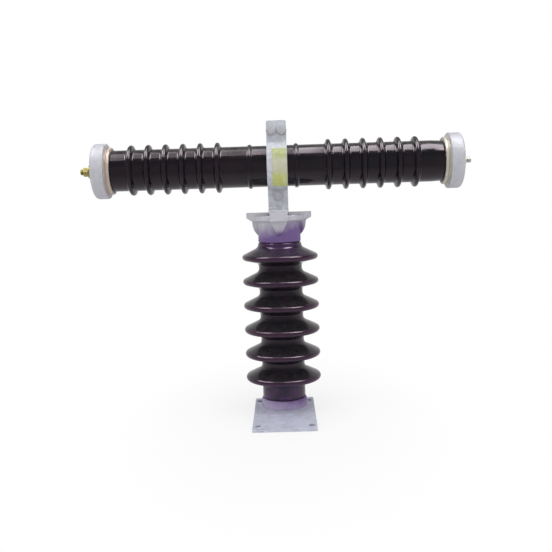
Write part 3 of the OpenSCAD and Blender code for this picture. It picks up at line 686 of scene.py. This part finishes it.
# %% Collars and caps
COLLAR_IN, COLLAR_R, CAP_R = 21.0, 47, 55.3
FACE_U, BOSS_U, HOLE_R = 36.5, 41.5, 5.1
END_PLACES = {}
for side, end in (("left", left_end), ("right", right_end)):
    turned = math.radians(90 if end > 0 else -90)
    start = end - math.copysign(COLLAR_IN, end)
    END_PLACES[side] = Matrix.Translation((start * MM, POST_Y, TUBE_Z)) @ Matrix.Rotation(turned, 4, "Y")

COLLAR = [(43, 0, 0.4), (46.2, 0, 0.5), (COLLAR_R, 1.2, 0.5), (COLLAR_R, 5, 0.4), (45, 6, 0.4), (45, 10, 0.3),
          (COLLAR_R, 10.2, 0.2), (COLLAR_R, COLLAR_IN, 0.3), (43, COLLAR_IN, 0.3)]
CAP = [(HOLE_R, 7, 0), (16, 7, 1), (16, 24, 0), (COLLAR_R, 24, 0), (COLLAR_R, 10.05, 0.4),
       (CAP_R - 1, 10.05, 0.8), (CAP_R, 11.2, 0.8), (CAP_R, FACE_U, 6.9), (46, FACE_U, 0.5),
       (45, FACE_U - 1.5, 0.6), (21, FACE_U - 1.5, 1.2), (18.2, FACE_U, 1.2), (17, BOSS_U, 0.8),
       (HOLE_R, BOSS_U, 0)]
for side, place in END_PLACES.items():
    keep(f"collar_{side}", turn(COLLAR, place, steps=128, segments=3), f"{side}_collar",
         [f"end_collar_{side}"])
    keep(f"cap_{side}", turn(CAP, place, steps=128, segments=5), "cap_metal",
         [f"end_cap_{side}"])

# %% [markdown]
# ## Screws, nuts and washers
# A thread is a small tooth that climbs as it goes round: the spin gets a rise for each step, its turns
# merge into one skin, and two planes cut the ends flat. A hexagon gets many points on each side, so that
# its corners can be turned down to the round chamfer that real nuts and bolts have.

# %% Helper: thread
THREAD_DEPTH = 0.61


def threaded(radius, pitch, low, high, around=28):
    """A threaded rod from low to high, in mm, with its upper end turned to a point's beginning."""
    bm = bmesh.new()
    root = radius - THREAD_DEPTH * pitch
    tooth = [(root, 0.0), (root, 0.12), (radius, 0.44), (radius, 0.56), (root, 0.88), (root, 1.0)]
    rounds = math.ceil((high - low) / pitch) + 3
    wire = [bm.verts.new((r * MM, 0, (low + pitch * (t - 1.5)) * MM)) for r, t in tooth]
    for pair in zip(wire, wire[1:]):
        bm.edges.new(pair)
    bmesh.ops.spin(bm, geom=bm.verts[:] + bm.edges[:], cent=(0, 0, 0), axis=(0, 0, 1),
                   dvec=(0, 0, pitch * MM / around), angle=math.tau, steps=around,
                   use_merge=False, use_duplicate=False)
    first_round = bm.verts[:] + bm.edges[:] + bm.faces[:]
    for k in range(1, rounds):
        copied = bmesh.ops.duplicate(bm, geom=first_round)["geom"]
        bmesh.ops.translate(bm, verts=[part for part in copied if isinstance(part, bmesh.types.BMVert)],
                            vec=(0, 0, k * pitch * MM))
    bmesh.ops.remove_doubles(bm, verts=bm.verts, dist=5e-6)
    for height, outward in ((low, -1), (high, 1)):
        bmesh.ops.bisect_plane(bm, geom=bm.verts[:] + bm.edges[:] + bm.faces[:], plane_co=(0, 0, height * MM),
                               plane_no=(0, 0, outward), clear_outer=True, dist=1e-7)
        rim = [edge for edge in bm.edges
               if edge.is_boundary and all(abs(v.co.z - height * MM) < 1e-6 for v in edge.verts)]
        bmesh.ops.edgeloop_fill(bm, edges=rim)
    for v in bm.verts:
        reach = v.co.xy.length
        limit = (radius - max(0.0, 1.1 - (high - v.co.z / MM))) * MM
        if reach > limit:
            v.co.xy *= limit / reach
    return bm


# %% Helper: hexagon
def hexagon(flats, low, high, hole=0.0):
    """A nut or a bolt's head from low to high, in mm, with its corners turned down at both faces."""
    bm = bmesh.new()
    flat_r = flats / 2

    def ring(edges, height, radius=None, droop=0.0):
        made = bmesh.ops.extrude_edge_only(bm, edges=edges)["geom"]
        for v in (part for part in made if isinstance(part, bmesh.types.BMVert)):
            corner = max(0.0, v.co.xy.length / MM - flat_r * 0.98)
            v.co.z = (height + droop * corner) * MM
            if radius:
                v.co.xy = v.co.xy.normalized() * radius * MM
        return [part for part in made if isinstance(part, bmesh.types.BMEdge)]

    bmesh.ops.create_circle(bm, segments=6, radius=flat_r / math.cos(math.radians(30)) * MM)
    bmesh.ops.subdivide_edges(bm, edges=bm.edges, cuts=7)
    bmesh.ops.translate(bm, verts=bm.verts, vec=(0, 0, (low + high) / 2 * MM))
    waist = bm.edges[:]
    faces = []
    for height, droop in ((low, 0.6), (high, -0.6)):
        face = ring(ring(waist, height, droop=droop), height, radius=flat_r * 0.95)
        if hole:
            depth = 0.7 if droop > 0 else -0.7
            face = ring(ring(face, height, radius=hole + 0.6), height + depth, radius=hole)
        faces.append(face)
    if hole:
        bmesh.ops.bridge_loops(bm, edges=faces[0] + faces[1])
    else:
        for face in faces:
            bmesh.ops.edgeloop_fill(bm, edges=face)
    return bm


# %% Helpers: washers, moving
def washer(inner, outer, low, high):
    outline = [(inner, low, 0.2), (outer, low, 0.3), (outer, high, 0.3), (inner, high, 0.2)]
    return turn(outline, steps=64, segments=2)


def spring_washer(inner, outer, low, high):
    """A split ring: nearly a full turn of a square bar, with a gap between its ends."""
    bm = bmesh.new()
    corners = ((inner, low), (outer, low), (outer, high), (inner, high))
    bm.faces.new([bm.verts.new((radius * MM, 0, height * MM)) for radius, height in corners])
    bmesh.ops.bevel(bm, geom=bm.verts[:], offset=0.3 * MM, offset_type="OFFSET", segments=2, profile=0.5,
                    affect="VERTICES", clamp_overlap=False, material=-1)
    bmesh.ops.spin(bm, geom=bm.verts[:] + bm.edges[:] + bm.faces[:], cent=(0, 0, 0), axis=(0, 0, 1),
                   dvec=(0, 0, 0), angle=math.radians(348), steps=58, use_merge=False, use_duplicate=False)
    return bm


def moved(bm, place):
    bmesh.ops.transform(bm, matrix=place, verts=bm.verts)
    return bm


# %% [markdown]
# ## Clamp bolts and foot bolts
# Three bolts go through both straps, with the head and a washer in front and a washer and a nut behind,
# where a few turns of thread stick out. Four shorter ones go through the feet into the casting.

# %% Bolts
STRAP_TOP_Z, STRAP_FOOT_Z, GRIP = 588.0, 405.0, 8.0
FOOT_T, FOOT_BOLT_X, FOOT_BOLT_Y = 6.0, 11.0, 51.0
TOP_BOLT_X, TOP_BOLT_DOWN, LOWER_BOLT_UP = 11, 20, 28
TO_THE_BACK = Matrix.Rotation(math.radians(-90), 4, "X")


def clamp_bolt(x, z):
    parts = joined(hexagon(16, -GRIP - 8, -GRIP - 2), washer(5.2, 9.6, -GRIP - 1.95, -GRIP),
                   threaded(5, 1.5, -GRIP - 3, GRIP + 12), washer(5.2, 9.6, GRIP, GRIP + 1.95),
                   hexagon(16, GRIP + 2, GRIP + 9, hole=5.1))
    return moved(parts, Matrix.Translation((x * MM, POST_Y, z * MM)) @ TO_THE_BACK)


def foot_bolt(x, y):
    shank = [(0, -13, 0), (4, -13, 0.6), (4, FOOT_T + 2, 0), (0, FOOT_T + 2, 0)]
    parts = joined(turn(shank, steps=32, closed=False), washer(4.3, 7.9, FOOT_T, FOOT_T + 1.6),
                   hexagon(12.8, FOOT_T + 1.65, FOOT_T + 7))
    return moved(parts, Matrix.Translation((x * MM, POST_Y + y * MM, STRAP_FOOT_Z * MM)))


keep("top_bolts", joined(*(clamp_bolt(x, STRAP_TOP_Z - TOP_BOLT_DOWN) for x in (-TOP_BOLT_X, TOP_BOLT_X))),
     "bolt_zinc", ["top_clamp_bolts"])
keep("lower_bolt", clamp_bolt(0, STRAP_FOOT_Z + FOOT_T + LOWER_BOLT_UP),
     "bolt_zinc", ["lower_clamp_bolt"])
feet = [(x, y) for x in (-FOOT_BOLT_X, FOOT_BOLT_X) for y in (-FOOT_BOLT_Y, FOOT_BOLT_Y)]
keep("feet_bolts", joined(*(foot_bolt(x, y) for x, y in feet)),
     "bolt_zinc", ["foot_bolts"])

# %% [markdown]
# ## Terminals
# A threaded stud stands out of each cap. The left one holds two thick washers, a spring washer and a tall
# nut, all brass. The right one has a thin washer and a low nut, plated.

# %% Terminals
TERMINALS = (("left", 8.0, 10.0, 66.0, "stud_brass", "brass"),
             ("right", 2.0, 4.0, 58.0, "stud_plated", "plated_stud"))
for side, stack, nut_t, tip, finish, slot in TERMINALS:
    place = END_PLACES[side]
    seat = BOSS_U + stack
    if side == "left":
        rings = [washer(6.5, 13, BOSS_U, BOSS_U + 2.7), spring_washer(6.5, 11, BOSS_U + 2.75, BOSS_U + 5.25),
                 washer(6.5, 13, BOSS_U + 5.3, seat)]
    else:
        rings = [washer(6.5, 13, BOSS_U, seat)]
    shank = [(0, 7, 0), (5, 7, 0.5), (5, seat + nut_t - 1, 0), (0, seat + nut_t - 1, 0)]
    core = turn(shank, steps=40, closed=False)
    keep(f"stud_{side}", moved(joined(core, threaded(6, 1.75, seat + nut_t - 0.6, tip)), place), finish,
         [f"terminal_stud_{side}"])
    keep(f"washers_{side}", moved(joined(*rings), place), finish, [f"terminal_washer_{side}"])
    keep(f"nut_{side}", moved(hexagon(18, seat + 0.05, seat + nut_t, hole=5.1), place), finish,
         [f"terminal_nut_{side}"])

# %% [markdown]
# ## The bottom fitting
# A plain cast ring with a soft upper edge. It is turned like the porcelain, and the screw that holds it to
# the plate goes up its middle.

# %% Bottom fitting
FOOT_RING = [(8.1, 5, 0), (46.4, 5, 0.5), (46.4, 20.8, 1.1), (45, 23, 0.9), (39, 23, 0.4), (39, 9, 0),
             (14, 9, 0), (14, 29, 0.5), (8.1, 29, 0.5)]
keep("foot_ring", turn(FOOT_RING, ON_POST, steps=128, segments=3),
     "foot_casting", ["bottom_fitting"])

# %% [markdown]
# ## Straps, plate, casting and label
# These have the right shape already, but every edge of a CAD solid is as sharp as a knife, and real ones
# are not. So a copy is merged, its loose triangles dissolve into the faces they came from, and each sharp
# edge gets a small rounding that catches the light. The casting is also reshaped a little on the way: its
# two free ears get thinner towards their tips, as a cast ear does so that it leaves the mould.

# %% Helper: ease the edges of a CAD solid's copy
def eased(name, node, finish, width, sharpest=28, shape=None):
    """Copy a node and round every edge that turns by more than so many degrees, by a width in mm."""
    bm = bmesh.new()
    bm.from_mesh(nodes[node].data)
    bmesh.ops.remove_doubles(bm, verts=bm.verts, dist=2e-6)
    bmesh.ops.dissolve_limit(bm, angle_limit=math.radians(0.6), verts=bm.verts, edges=bm.edges)
    if shape:
        shape(bm)
    corners = [edge for edge in bm.edges if edge.calc_face_angle(0) > math.radians(sharpest)]
    bmesh.ops.bevel(bm, geom=corners, offset=width * MM, offset_type="OFFSET", segments=3, profile=0.5,
                    affect="EDGES", clamp_overlap=True, material=-1)
    piece = keep(name, bm, finish, [node], sharp=35)
    flat = piece.modifiers.new("flat faces", "WEIGHTED_NORMAL")
    flat.keep_sharp = True


# %% Straps, plate, casting, label
EAR_ROOT, EAR_UNDERSIDE, EAR_LIFT = 55.5, 389.0, 6.0


def thin_ears(bm):
    """Lift the undersides of the ears along X, the more the further out, and leave their tops level."""
    ear_tip = max(v.co.x for v in bm.verts) / MM
    for v in bm.verts:
        out = (abs(v.co.x) / MM - EAR_ROOT) / (ear_tip - EAR_ROOT)
        if out > 0 and abs(v.co.z / MM - EAR_UNDERSIDE) < 0.1:
            v.co.z += out * EAR_LIFT * MM


eased("strap_front", "clamp_front", "strap_zinc", 0.7)
eased("strap_back", "clamp_back", "strap_zinc", 0.7)
eased("plate", "base_plate", "plate_zinc", 0.6)
eased("eared_cap", "top_fitting", "top_casting", 1.0, shape=thin_ears)
eased("label", "label_plate", "plain_label", 0.15)

# %% [markdown]
# ## The solids that stay as they are
# Cement, rubber, the link and the screw under the plate are hidden or show only as a thin ring, so their
# solids are good enough. Each gets its finish in its material slot, and its mesh isn't touched.

# %% Finish the solids
def dress(node, finish):
    slots = nodes[node].data.materials
    slots.clear()
    slots.append(finishes[finish])


for finish, names in {
    "bolt_zinc": ["fixing_screw"],
    "joint_cement": ["bottom_cement", "top_cement", "end_cement_left", "end_cement_right"],
    "liner_rubber": ["clamp_liner", "gasket_left", "gasket_right"],
    "stud_brass": ["link_ferrule_left", "link_ferrule_right"],
    "link_ceramic": ["link_tube"],
    "link_sand": ["link_sand"],
}.items():
    for name in names:
        dress(name, finish)
